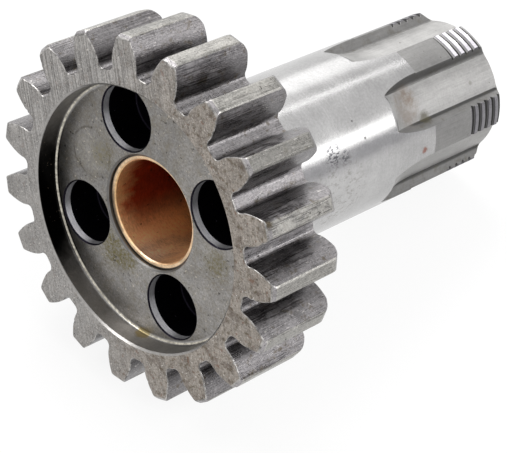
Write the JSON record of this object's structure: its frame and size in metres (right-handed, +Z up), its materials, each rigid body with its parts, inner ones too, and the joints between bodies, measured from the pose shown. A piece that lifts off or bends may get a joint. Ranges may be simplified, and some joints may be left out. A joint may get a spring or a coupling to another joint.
{
  "type": "gearbox output shaft",
  "caption": "Gearbox sleeve gear: a spur gear with a recessed face and blind dog holes, on a hollow shaft with a ground journal, a splined threaded end and bronze bushes.",
  "frame": {"origin": "bottom centre of the box of the part as it lies on a flat surface", "axes": "+Z up; the shaft axis lies in the YZ plane, gear towards -Y and splined end towards +Y, dropping 14.5 degrees towards the splined end"},
  "size_m": [0.0666, 0.093, 0.0678],
  "materials": {
    "steel": "machined teeth and face with oil stains, ground journal, bright splines",
    "bronze": "bored bronze, darkened by oil"
  },
  "bodies": {
    "root": {"gear_shaft": "steel", "front_bush": "bronze", "rear_bush": "bronze"}
  },
  "joints": []
}
